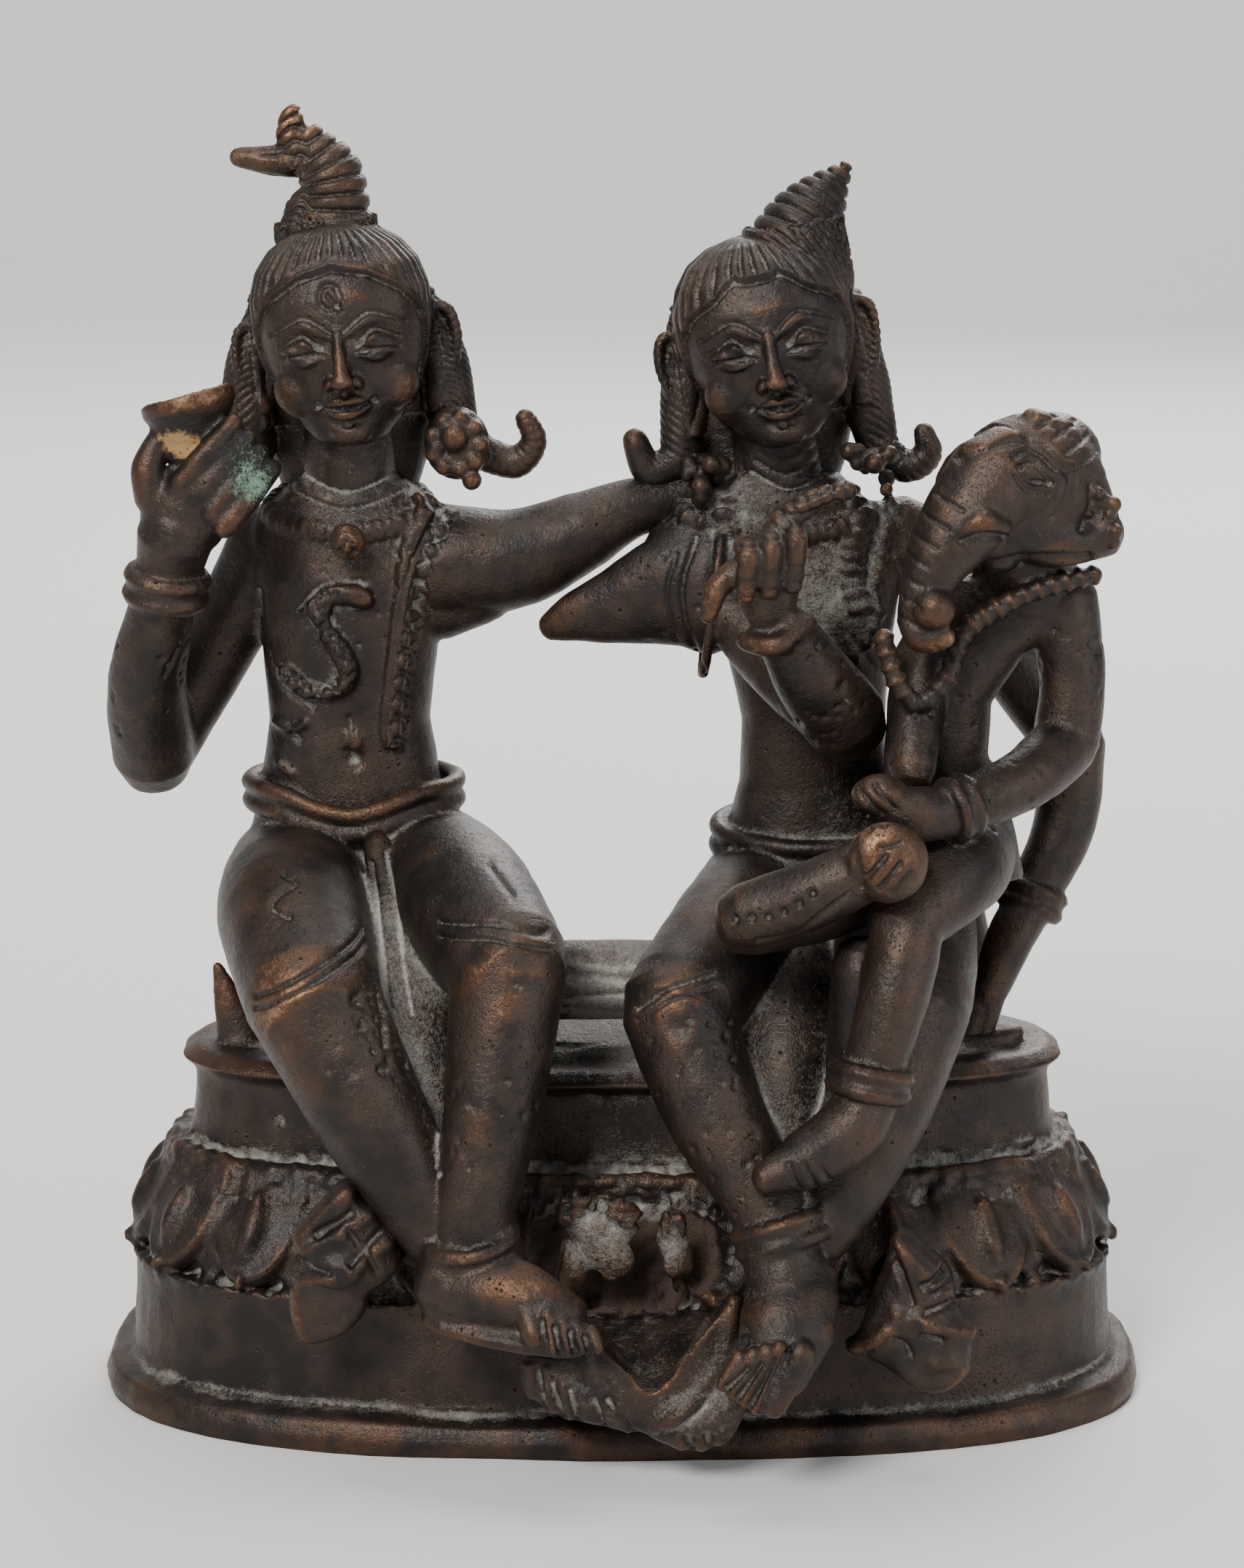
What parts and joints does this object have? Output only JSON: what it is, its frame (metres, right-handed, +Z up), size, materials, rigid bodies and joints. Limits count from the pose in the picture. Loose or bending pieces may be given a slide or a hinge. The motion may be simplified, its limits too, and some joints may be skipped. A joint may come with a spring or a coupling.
{
  "type": "deity family statue",
  "caption": "Small cast bronze group of two seated deities and an elephant-headed child on an oval lotus pedestal, standing on its flat underside.",
  "frame": {"origin": "middle of the pedestal's flat underside", "axes": "+Z up; -Y towards the viewer, the way the figures face; +X to the viewer's right"},
  "size_m": [0.1118, 0.0714, 0.1359],
  "materials": {
    "bronze": "dark brown patina worn to warm bronze on the high points, with grey dust in the hollows"
  },
  "bodies": {
    "root": {"statue": "bronze"}
  },
  "joints": []
}
